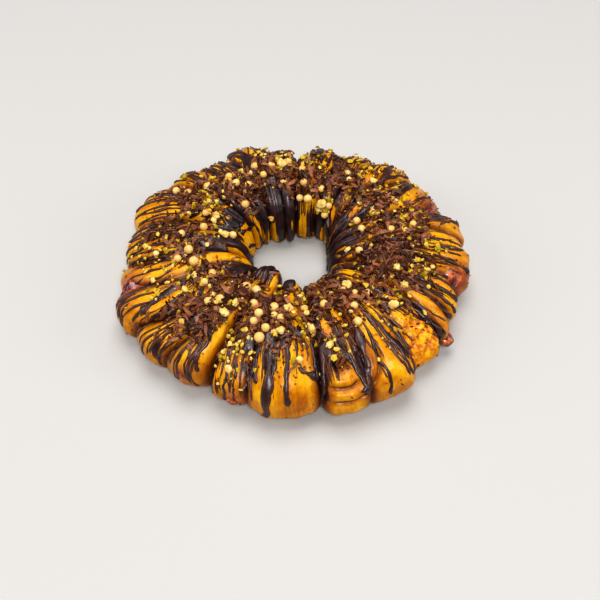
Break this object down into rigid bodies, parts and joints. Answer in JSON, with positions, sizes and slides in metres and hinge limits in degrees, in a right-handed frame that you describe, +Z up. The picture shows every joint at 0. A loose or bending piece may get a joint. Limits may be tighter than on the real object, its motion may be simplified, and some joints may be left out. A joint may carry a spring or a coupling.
{
  "type": "plum marzipan kringle",
  "caption": "Baked ring of twisted, layered dough with a round hole, plum filling showing at its seams, and chocolate, nuts and sugar pearls on top.",
  "frame": {"origin": "on the surface it rests on, under the middle of its outline", "axes": "+Z up; -Y towards the side with the tucked end of the roll; +X to the right of it"},
  "size_m": [0.2496, 0.2403, 0.0548],
  "materials": {
    "crust": "golden brown baked crust with a sugar glaze and dark chocolate",
    "plum": "wet, dark purple-red fruit filling"
  },
  "bodies": {
    "root": {"pastry": "crust", "plum_filling": "plum"}
  },
  "joints": []
}
